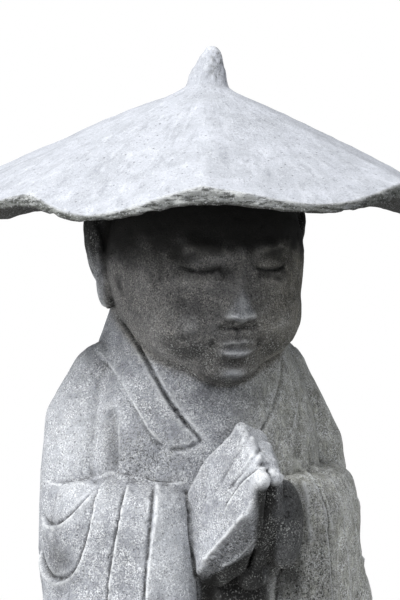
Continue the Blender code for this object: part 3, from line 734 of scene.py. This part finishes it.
def level_ends(mesh):
    """Cuts the stone level at the ground and at the crown, and closes the cuts."""
    bm = bmesh.new()
    bm.from_mesh(mesh)
    for height, up in ((0.0, -1), (CROWN, 1)):
        cut_at = bmesh.ops.bisect_plane(
            bm, geom=list(bm.verts) + list(bm.edges) + list(bm.faces),
            plane_co=(0, 0, height), plane_no=(0, 0, up), clear_outer=True,
        )["geom_cut"]
        rim = [item for item in cut_at if isinstance(item, bmesh.types.BMEdge)]
        bmesh.ops.contextual_create(bm, geom=rim)
    bmesh.ops.triangulate(bm, faces=list(bm.faces))
    bmesh.ops.recalc_face_normals(bm, faces=list(bm.faces))
    bm.to_mesh(mesh)
    bm.free()


def figure(above):
    bm = bmesh.new()
    robe_forms(bm)
    arm_forms(bm)
    hand_forms(bm)
    head_forms(bm)
    base_forms(bm)
    mesh = one_stone(bm)
    model_face(mesh)
    carve(mesh, FOLD_LINES + FACE_LINES)
    small, wide = hollows(mesh, [round((reach / VOXEL) ** 2) for reach in (FINE_HOLLOW, WIDE_HOLLOW)])
    # The darkening in the hollows, part dirt and part painted shade, and the wear on the ridges
    note(mesh, "hollow_dirt_and_shade", small / 0.0013 + wide / 0.008 - 0.10)
    note(mesh, "worn", -small / 0.0009 - wide / 0.022 - 0.12)
    mesh = thinned(mesh)
    weather(mesh)
    level_ends(mesh)
    place_points(mesh, inside_solid(points_of(mesh), "figure"))
    note_growth(mesh, hidden_sky(mesh, above))
    return finished("figure", "figure_stone", mesh, weathered_granite())


def note_growth(mesh, hidden):
    """Notes where the stone is darker or paler. The head is darker stone, as the hat keeps the rain off it,
    with painted shade added for the hat's shadow and wherever the stones hide the sky. Between and under the
    hands, on faces turned down, inside the sleeve's loops and on the chin the darkening is painted shade; on
    the chest it is painted shade with some dirt, and on the far hand grime with painted shade. The damp
    tint, pale flecks and rough pits are the stone's own; the paler patches are paler stone, with painted
    light on the finger tips."""
    points, normals = points_of(mesh), normals_of(mesh)
    x, y, z = points.T
    across = points @ np.array(VIEW_RIGHT)
    below = rise(-normals[:, 2], 0.20, 0.75)
    open_front = rise(normals @ np.array(VIEW_BACK), -0.10, 0.20)
    head = rise(-head_reach(on_head(points)), -1.14, -1.04)
    ears = rise(np.abs(x), 0.098, 0.104) * rise(z, 0.740, 0.750)
    # Darker under the hat: the head's own darker stone, and painted shade for the hat's shadow and where the
    # stones hide most of the sky; the ears get half as much
    note(mesh, "sheltered_and_shaded", np.maximum(head, 0.75 * rise(hidden, 0.72, 0.98)) * (1 - 0.5 * ears))
    front = rise(-y, 0.050, 0.065)
    in_hands = rise(across, -0.014, -0.006) * rise(-y, 0.082, 0.095)
    # Painted shade inside the sleeve's two loops; on the chest, beside the upper arm and under the chin,
    # painted shade with some dirt
    loops = swelling(across, z, (-0.143, 0.497), (0.018, 0.024), 0.62)
    loops += swelling(across, z, (-0.148, 0.534), (0.012, 0.010), 0.30)
    chest = swelling(across, z, (-0.056, 0.604), (0.044, 0.030), 0.36)
    chest += swelling(across, z, (-0.094, 0.608), (0.008, 0.038), 0.32)
    chest += swelling(across, z, (0.012, 0.658), (0.045, 0.016), 0.28) * (1 - head)
    # Painted shade in the recess under the hands
    recess = rise(x, -0.044, -0.036) * rise(-x, -0.045, -0.015) * rise(z, 0.420, 0.460)
    recess *= rise(-z, -0.515, -0.490) * rise(y, -0.106, -0.092)
    # Painted shade under the edges of the right hand, which slant down from its little finger to the wrist,
    # and the hands' painted shadow on the robe below them
    blade = 0.30 * in_hands * rise(0.510 + 1.21 * across - z, 0.0, 0.005)
    under = rise(0.494 + 0.72 * across - z, 0.0, 0.006) * rise(z, 0.440, 0.462)
    under *= rise(across, -0.012, -0.002) * rise(-across, -0.064, -0.052)
    # The far hand: grime, with painted shade because it lies in the near hand's shade; below it, painted
    # shade
    far_hand = rise(x, -0.002, 0.007) * rise(-x, -0.072, -0.056) * rise(z, 0.450, 0.478)
    far_hand *= rise(-z, -0.592, -0.576) * rise(-y, 0.078, 0.092)
    below_it = swelling(across, z, (0.076, 0.502), (0.020, 0.009), 0.98)
    # Painted shade in the gap between the hands, and on the right hand's edge beside it
    beside = rise(across, 0.039, 0.048) * rise(-across, -0.076, -0.062) * rise(z, 0.488, 0.503)
    beside *= rise(-z, -0.592, -0.582) * rise(-y, 0.060, 0.075)
    between = bell((x - 0.004) / 0.010) * rise(z, 0.440, 0.480) * rise(-z, -0.580, -0.560)
    # Painted shade on the chin and jaw, under the hat
    head_low = swelling(across, z, (0.010, 0.696), (0.060, 0.024), 0.50) * head
    # All these darken the stone, faces turned down among them: painted shade, with grime on the far hand and
    # some dirt on the chest
    shaded_and_stained = np.maximum.reduce([
        0.86 * far_hand, front * recess, front * between, 0.70 * front * below, open_front * chest,
        open_front * loops, blade, front * under, front * below_it, beside, front * head_low,
    ])
    # Painted shade where the stones hide nearly all the sky, and in all the places above
    note(mesh, "shade_and_soot", np.maximum(rise(hidden, 0.86, 0.99), shaded_and_stained))
    note(mesh, "flecks", np.maximum.reduce([0.6 * (1 - head), head * rise(-z, -0.800, -0.710), far_hand]))
    rough = swelling(across, z, (-0.062, 0.598), (0.054, 0.032), 1) * open_front
    # The rough pitted patch under the collar's end; the right hand's lower edge takes the same dark speckle,
    # which deepens its painted shade
    note(mesh, "rough", np.maximum(rough, blade / 0.30) * (1 - head))
    # Paler stone on the shoulder and on the sleeve beside the right hand, and painted light on the finger
    # tips
    washed_and_lit = swelling(across, z, (-0.125, 0.612), (0.040, 0.050), 1)
    washed_and_lit += swelling(across, z, (-0.036, 0.518), (0.018, 0.060), 1)
    washed_and_lit += swelling(across, z, (0.052, 0.616), (0.022, 0.026), 1) * in_hands
    note(mesh, "washed_and_lit", washed_and_lit * open_front * (1 - head))
    note(mesh, "damp", rise(x + 0.35 * y, -0.045, 0.060))


# The hat

def rim_at(turn):
    """Reach, top height and thickness of the leaf's rim at this turn, in metres."""
    turns = np.array([row[0] for row in LEAF_EDGE], float)
    turn = (turn - turns[0]) % 360 + turns[0]
    index = np.searchsorted(turns, turn, side="right") - 1
    start, end = LEAF_EDGE[index], LEAF_EDGE[(index + 1) % len(LEAF_EDGE)]
    share = (turn - start[0]) / ((end[0] - start[0]) % 360)
    ease = 0.5 - 0.5 * math.cos(math.pi * share)
    return [(a + (b - a) * ease) / MM for a, b in zip(start[1:], end[1:])]


def rib(turn, radius):
    """The worn crest that wavers out to each high point of the rim."""
    turn += 1.4 * math.sin(radius * 47 + turn / 30) + 0.7 * math.sin(radius * 121)
    from_rib = min(abs((turn - row[0] + 180) % 360 - 180) for row in LEAF_EDGE[::2])
    away = math.hypot(radius * math.radians(from_rib), 0.005) - 0.005
    return 0.0032 * math.exp(-away / 0.015) - 0.0012


def leaf_place(spot):
    share = math.hypot(spot.x, spot.y)
    turn = math.degrees(math.atan2(-spot.x, -spot.y))
    reach, rim_top, rim_thick = rim_at(turn)
    cone = LEAF_TOP - (LEAF_TOP - LEAF_MEAN_RIM) * share + LEAF_DOME * math.sin(math.pi * share)
    top = cone + (rim_top - LEAF_MEAN_RIM) * share**3
    radius = share * reach
    top += rib(turn, radius) * rise(share, 0.10, 0.25)
    stem = STEM_TOP - (STEM_TOP - LEAF_TOP) * (radius / STEM_RADIUS) ** 1.8
    flare = 0.003 * math.exp(-max(radius - STEM_RADIUS, 0) / 0.006)
    top = max(top + flare, stem) if radius < STEM_RADIUS * 1.3 else top + flare
    seat = CROWN + SEAT_GAP
    slope = min(max((share - SEAT_REACH) / (1 - SEAT_REACH), 0), 1)
    under = seat + (rim_top - rim_thick - seat) * slope
    height = under + (top - under) * (spot.z + 1) / 2
    angle = math.atan2(spot.y, spot.x)
    lean = STEM_LEAN * rise(height, LEAF_TOP - 0.012, STEM_TOP)
    return Vector((
        radius * math.cos(angle) + lean * math.cos(VIEW_TURN),
        radius * math.sin(angle) + lean * math.sin(VIEW_TURN), height,
    ))


def leaf_form():
    """A lotus leaf turned face down: a flat disc is spun, then drawn to the leaf's height and rim."""
    shares = list(np.linspace(0, 0.1, 16)) + list(np.linspace(0.115, 0.985, 60))
    bm = bmesh.new()
    top = [bm.verts.new((share, 0, 1)) for share in shares]
    rim = [bm.verts.new(at) for at in ((0.993, 0, 1.0), (0.998, 0, 0.90), (1.0, 0, 0.70), (1.0, 0, 0.35),
                                       (1.0, 0, 0), (1.0, 0, -0.35), (0.999, 0, -0.70), (0.995, 0, -0.94))]
    inward = (0.975, 0.93, 0.86, 0.78, 0.70, 0.60, 0.50, 0.42, SEAT_REACH, 0.18, 0)
    under = [bm.verts.new((share, 0, -1)) for share in inward]
    line = top + rim + under
    edges = [bm.edges.new(pair) for pair in zip(line, line[1:])]
    bmesh.ops.spin(
        bm, geom=line + edges, axis=(0, 0, 1), cent=(0, 0, 0), angle=math.tau, steps=LEAF_SIDES,
        use_merge=True,
    )
    bmesh.ops.remove_doubles(bm, verts=list(bm.verts), dist=1e-5)
    for vert in bm.verts:
        vert.co = leaf_place(vert.co)
    bmesh.ops.triangulate(bm, faces=list(bm.faces))
    bmesh.ops.recalc_face_normals(bm, faces=list(bm.faces))
    return meshed(bm, "hat")


def hat():
    mesh = leaf_form()
    points, normals = points_of(mesh), normals_of(mesh)
    outer = rise(np.hypot(points[:, 0], points[:, 1]), 0.10, 0.14)
    free = np.where(normals[:, 2] > 0, 1, outer)
    off = 0.0009 * lumps(points, 0.045, 11) + 0.0005 * lumps(points, 0.014, 13)
    off += 0.0003 * lumps(points, 0.006, 17)
    on_stem = rise(points[:, 2], LEAF_TOP - 0.004, LEAF_TOP + 0.004)
    off += on_stem * (0.0016 * lumps(points, 0.009, 19) + 0.0011 * lumps(points, 0.0045, 37))
    edge = rise(-normals[:, 2], -0.90, -0.50) * outer
    off += edge * (0.0008 * lumps(points, 0.007, 31) - 0.0014 * rise(lumps(points, 0.010, 41), 0.25, 0.70))
    place_points(mesh, inside_solid(points + normals * (off * free)[:, None], "hat"))
    note_leaf(mesh, normals, outer, on_stem)
    return finished("hat", "hat_stone", mesh, bleached_granite())


def note_leaf(mesh, normals, outer, on_stem):
    """Notes the leaf's wear, pits and run, its rim, its mottled stem, and the painted shade in its hollows
    (with dirt), where the rim turns down, on the rim's sides, on the stem's right and underneath, by its
    normals from before it was roughened.
    """
    points = points_of(mesh)
    across = points @ np.array(VIEW_RIGHT)
    from_stem = np.hypot(points[:, 0], points[:, 1])
    small, wide = hollows(mesh, (6, 40))
    foot = rise(-from_stem, -0.040, -0.028)
    on_rim = rise(-normals[:, 2], -0.80, -0.45) * outer
    # Dirt and painted shade in the hollows, less at the stem's foot
    note(mesh, "hollow_dirt_and_shade", (small / 0.0012 + wide / 0.012) * (1 - 0.8 * foot))
    note(mesh, "worn", -small / 0.0012 * rise(normals[:, 2], 0.05, 0.40))
    note(mesh, "rim", on_rim)
    # Painted shade where the rim turns down
    note(mesh, "low", rise(-normals[:, 2], -0.25, 0.25) * outer)
    # Painted shade under the leaf
    note(mesh, "shade_beneath", rise(-normals[:, 2], 0.15, 0.60))
    # Painted shade on the rim where it turns away to either side
    note(mesh, "rim_side_shade", on_rim * rise(np.abs(across), 0.040, 0.110))
    # The stem's dark mottling, stronger on its right as painted shade
    note(mesh, "stem", on_stem * (0.15 + 0.75 * rise(across, -0.002, 0.010)))
    reach = from_stem + 0.004
    pitted = rise(across, -0.010, 0.040) * rise(normals[:, 2], 0.20, 0.60) * (1 - on_stem)
    note(mesh, "pitted", pitted * (0.2 + 0.8 * rise(-reach, -0.190, -0.110)))
    run = mesh.attributes.new("run", "FLOAT_VECTOR", "POINT")
    round_leaf = points[:, :2] / reach[:, None] * 0.150
    run.data.foreach_set("vector", np.column_stack([round_leaf, reach]).astype(np.float32).ravel())


def finished(node, slot, mesh, material):
    """Puts a stone in the scene, in its own material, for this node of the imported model."""
    mesh.materials.clear()
    mesh.materials.append(material)
    mesh.shade_smooth()
    piece = placed(slot, mesh)
    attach(piece, "root")
    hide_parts(node)
    return piece


# Stone

def shade(code):
    """A colour written as sRGB hex, as Blender's linear values."""
    parts = [int(code[index:index + 2], 16) / 255 for index in (1, 3, 5)]
    return (*[part / 12.92 if part <= 0.04045 else ((part + 0.055) / 1.055) ** 2.4 for part in parts], 1.0)


def add(tree, kind, inputs, **settings):
    """Adds a node: its settings, and each input's value or the output that feeds it."""
    node = tree.nodes.new(kind)
    for name, value in settings.items():
        setattr(node, name, value)
    for socket, value in inputs.items():
        if isinstance(value, bpy.types.NodeSocket):
            tree.links.new(value, node.inputs[socket])
        else:
            node.inputs[socket].default_value = value
    return node


def started(name):
    """A new matt stone: its material, its node tree, and where on the stone a point lies."""
    material = bpy.data.materials.new(name)
    material.use_nodes = True
    tree = material.node_tree
    shader = tree.nodes["Principled BSDF"]
    shader.inputs["Roughness"].default_value = 0.88
    shader.inputs["IOR"].default_value = 1.54
    shader.inputs["Specular IOR Level"].default_value = 0.3
    return material, tree, add(tree, "ShaderNodeTexCoord", {}).outputs["Object"]


def noted(tree, *names):
    return [add(tree, "ShaderNodeAttribute", {}, attribute_name=name).outputs["Fac"] for name in names]


def patches(tree, at, wide, low, high):
    """Ragged patches about this many millimetres wide: nought below low, one above high."""
    noise = add(tree, "ShaderNodeTexNoise", {
        "Vector": at, "Scale": MM / wide, "Detail": 5.0, "Roughness": 0.68,
    })
    return add(tree, "ShaderNodeMapRange", {
        "Value": noise.outputs["Fac"], "From Min": low, "From Max": high,
    }).outputs[0]


def specks(tree, at, apart, wide):
    """Round specks, one or none in each cell this many millimetres apart."""
    cells = add(tree, "ShaderNodeTexVoronoi", {"Vector": at, "Scale": MM / apart, "Randomness": 1.0})
    return add(tree, "ShaderNodeMapRange", {
        "Value": cells.outputs["Distance"], "From Min": 0.5 * wide / apart, "From Max": 0.2 * wide / apart,
    }).outputs[0]


def both(tree, share, other):
    return add(tree, "ShaderNodeMath", {0: share, 1: other}, operation="MULTIPLY", use_clamp=True).outputs[0]


def layered(tree, tone, layers):
    """Lays colours over a tone in turn, each by its own share and strength."""
    for share, strength, colour in layers:
        amount = both(tree, share, strength)
        mixed = add(tree, "ShaderNodeMix", {0: amount, 6: tone, 7: shade(colour)}, data_type="RGBA")
        tone = mixed.outputs[2]
    return tone


def darkened(tree, tone, share, colour):
    """Dims a tone to this colour's strength, by its share, so that its grains still show."""
    return add(
        tree, "ShaderNodeMix", {0: share, 6: tone, 7: shade(colour)}, data_type="RGBA", blend_type="MULTIPLY"
    ).outputs[2]


def ended(tree, at, tone, pits):
    """Gives the shader its colour, a gritty skin of about 1.5 mm, and the pits."""
    shader = tree.nodes["Principled BSDF"]
    grit = add(tree, "ShaderNodeTexNoise", {"Vector": at, "Scale": 650.0, "Detail": 4.0, "Roughness": 0.7})
    depth = add(tree, "ShaderNodeMath", {0: grit.outputs["Fac"], 1: pits}, operation="SUBTRACT").outputs[0]
    bump = add(tree, "ShaderNodeBump", {"Height": depth, "Strength": 0.6, "Distance": 0.0013})
    tree.links.new(tone, shader.inputs["Base Color"])
    tree.links.new(bump.outputs[0], shader.inputs["Normal"])


def weathered_granite():
    """Grey granite, dressed smooth and left outdoors: matt, peppered with pale and dark grains, whitened
    where its edges have worn, dark in its hollows with dirt and painted shade, darker on the head where the
    hat keeps the rain off, given painted shade under the hat, around the hands and on faces turned down, and
    painted light on the finger tips."""
    material, tree, at = started("weathered grey granite")
    hollow_dirt_and_shade, worn, sheltered_and_shaded, shade_and_soot, damp, washed_and_lit, rough, flecks = noted(
        tree, "hollow_dirt_and_shade", "worn", "sheltered_and_shaded", "shade_and_soot", "damp", "washed_and_lit", "rough", "flecks"
    )
    down = add(tree, "ShaderNodeMapping", {"Vector": at, "Scale": (1.0, 1.0, 0.25)}).outputs[0]
    runs = patches(tree, down, 11, 0.40, 0.60)
    pits = specks(tree, at, 8.0, 2.4)
    tone = layered(tree, shade("#898B91"), [
        (patches(tree, at, 45, 0.36, 0.64), 1.0, "#A3A6AD"),
        (patches(tree, at, 11, 0.44, 0.32), 0.50, "#5E5F64"),
        (patches(tree, at, 5.5, 0.53, 0.66), 0.42, "#D6D9DE"),
        (patches(tree, at, 3.8, 0.45, 0.34), 0.50, "#47484B"),
        # Paler stone, and painted light on the finger tips
        (washed_and_lit, 0.50, "#D4D7DC"),
        (damp, 0.66, "#ADACA0"),
        (both(tree, damp, patches(tree, at, 24, 0.50, 0.62)), 0.50, "#BDBEB4"),
        (both(tree, damp, patches(tree, at, 20, 0.46, 0.36)), 0.50, "#3E3C33"),
        (both(tree, damp, runs), 0.46, "#3E3C33"),
        (both(tree, damp, patches(tree, down, 4, 0.53, 0.62)), 0.70, "#D6D7CB"),
        (both(tree, damp, patches(tree, at, 1.7, 0.53, 0.61)), 0.50, "#DADBD0"),
        # Grains of 1.5 mm, drawn a little coarser than the stone's own so that they show
        (both(tree, patches(tree, at, 1.5, 0.49, 0.58), patches(tree, at, 15, 0.36, 0.56)),
         0.82, "#F4F6F8"),
        (patches(tree, at, 1.4, 0.46, 0.36), 0.74, "#2C2C2E"),
        (both(tree, rough, patches(tree, at, 2.4, 0.48, 0.41)), 0.85, "#2A2A28"),
        # Dirt and painted shade in the hollows
        (both(tree, hollow_dirt_and_shade, patches(tree, at, 7, 0.28, 0.52)), 0.85, "#2B2B29"),
        (both(tree, worn, patches(tree, at, 6, 0.34, 0.50)), 0.78, "#E6E8EA"),
    ])
    # The head's darker stone, with painted shade under the hat and where the stones hide the sky
    tone = darkened(tree, tone, sheltered_and_shaded, "#C2BDB5")
    pale = both(tree, patches(tree, at, 1.8, 0.55, 0.62), patches(tree, at, 26, 0.38, 0.56))
    tone = layered(tree, tone, [
        # Painted shade: dark grains where the hat shades, then the deepest painted shade, with some grime,
        # around the hands and under the hat
        (both(tree, sheltered_and_shaded, patches(tree, at, 1.6, 0.47, 0.38)), 0.60, "#171716"),
        (shade_and_soot, 0.97, "#171614"),
        (both(tree, flecks, pale), 0.95, "#B4B5B2"),
        (pits, 0.40, "#2A2A28"),
    ])
    ended(tree, at, tone, pits)
    return material


def bleached_granite():
    """The same granite where sun and rain reach it all day: bleached nearly white and pitted, with painted
    shade in its hollows (with some dirt), along the rim's lower edge and sides, on the stem's right and
    underneath."""
    material, tree, at = started("bleached grey granite")
    hollow_dirt_and_shade, worn, rim, low, rim_side_shade, shade_beneath, stem, pitted = noted(
        tree, "hollow_dirt_and_shade", "worn", "rim", "low", "rim_side_shade", "shade_beneath", "stem", "pitted"
    )
    # The rain's marks run down the leaf, so they are drawn out along its slope by the piece's own run
    run = add(tree, "ShaderNodeAttribute", {}, attribute_name="run").outputs["Vector"]
    streaks = add(tree, "ShaderNodeMapping", {"Vector": run, "Scale": (1.0, 1.0, 0.30)}).outputs[0]
    # Along the rim the stone flakes in level lines
    level = add(tree, "ShaderNodeMapping", {"Vector": at, "Scale": (0.4, 0.4, 1.5)}).outputs[0]
    pits = specks(tree, at, 9.0, 2.2)
    tone = layered(tree, shade("#A4A7AD"), [
        (patches(tree, at, 38, 0.38, 0.62), 1.0, "#B4B7BE"),
        (patches(tree, streaks, 9, 0.47, 0.37), 0.45, "#8A8D93"),
        (patches(tree, streaks, 8, 0.54, 0.64), 0.40, "#C9CCD2"),
        (patches(tree, at, 4.0, 0.44, 0.34), 0.40, "#7E8186"),
        # Dirt and painted shade in the hollows
        (hollow_dirt_and_shade, 0.5, "#777777"),
        # The stem's dark mottling, stronger on its right as painted shade
        (both(tree, stem, patches(tree, at, 3.5, 0.50, 0.58)), 0.75, "#575751"),
        (both(tree, rim, patches(tree, at, 16, 0.28, 0.50)), 0.88, "#8B8D8A"),
        (both(tree, rim, patches(tree, level, 13, 0.48, 0.56)), 0.80, "#C0C2C0"),
        # Painted shade along the rim's lower edge and on its sides
        (both(tree, low, patches(tree, level, 12, 0.38, 0.54)), 0.75, "#484A43"),
        (both(tree, rim_side_shade, patches(tree, level, 9, 0.32, 0.50)), 0.78, "#53554F"),
        (both(tree, rim, patches(tree, level, 4.5, 0.50, 0.58)), 0.85, "#2C2D29"),
        # Painted shade under the leaf
        (shade_beneath, 0.95, "#3A3935"),
        (both(tree, worn, patches(tree, at, 6, 0.38, 0.54)), 0.50, "#DADCDF"),
        (patches(tree, at, 1.8, 0.56, 0.64), 0.45, "#D8DADE"),
        (patches(tree, at, 1.9, 0.44, 0.34), 0.55, "#64656A"),
        (both(tree, pitted, patches(tree, at, 1.7, 0.48, 0.38)), 0.55, "#66686C"),
        (pits, 0.7, "#4A4A48"),
    ])
    ended(tree, at, tone, pits)
    return material


# The studio

def camera():
    """At the photograph's angle, a little above the brow, with one pixel to a millimetre at the stem."""
    data = bpy.data.cameras.new("camera")
    thing = placed("camera", data)
    spot = VIEW_BACK * EYE_DISTANCE + Vector((0, 0, EYE_HEIGHT))
    look = Vector((0, 0, LOOK_HEIGHT)) - spot
    thing.matrix_world = Matrix.Translation(spot) @ look.to_track_quat("-Z", "Y").to_matrix().to_4x4()
    data.sensor_width = FILM_WIDE
    data.lens = FILM_WIDE * look.length / (PICTURE_HEIGHT / MM)
    data.shift_x = -STEM_RIGHT_OF_MIDDLE / PICTURE_HEIGHT
    bpy.context.scene.camera = thing


def lamp(name, place, size, power):
    """A round lamp. Its place is to the viewer's right, towards the viewer and up."""
    data = bpy.data.lights.new(name, "AREA")
    data.shape = "DISK"
    data.size = size
    data.energy = power
    thing = placed(name, data)
    spot = VIEW_RIGHT * place[0] + VIEW_BACK * place[1] + Vector((0, 0, place[2]))
    aim = Vector((0, 0, LAMP_AIM)) - spot
    thing.matrix_world = Matrix.Translation(spot) @ aim.to_track_quat("-Z", "Y").to_matrix().to_4x4()


def studio():
    bm = bmesh.new()
    bmesh.ops.create_circle(bm, cap_ends=True, segments=128, radius=1.5)
    bmesh.ops.recalc_face_normals(bm, faces=list(bm.faces))
    floor = placed("floor", meshed(bm, "floor"))
    material = bpy.data.materials.new("pale matt floor")
    material.use_nodes = True
    shader = material.node_tree.nodes["Principled BSDF"]
    shader.inputs["Base Color"].default_value = shade("#E6E6E4")
    shader.inputs["Roughness"].default_value = 0.9
    floor.data.materials.append(material)

    world = bpy.data.worlds.new("white room")
    bpy.context.scene.world = world
    world.use_nodes = True
    tree = world.node_tree
    path = add(tree, "ShaderNodeLightPath", {})
    seen = add(
        tree, "ShaderNodeMix", {0: path.outputs["Is Camera Ray"], 6: ROOM_LIGHT, 7: WHITE}, data_type="RGBA"
    )
    tree.links.new(seen.outputs[2], tree.nodes["Background"].inputs["Color"])
    lamp("key", (-1.35, 1.40, 2.55), 1.2, 85)
    lamp("side", (-2.20, 1.20, 1.35), 1.6, 20)
    lamp("fill", (1.4, 1.3, 2.6), 1.8, 26)
    lamp("top", (0.4, -0.3, 2.8), 1.6, 14)
    bpy.context.scene.view_settings.view_transform = "Standard"


camera()
studio()
leaf = hat()
figure(leaf.data)
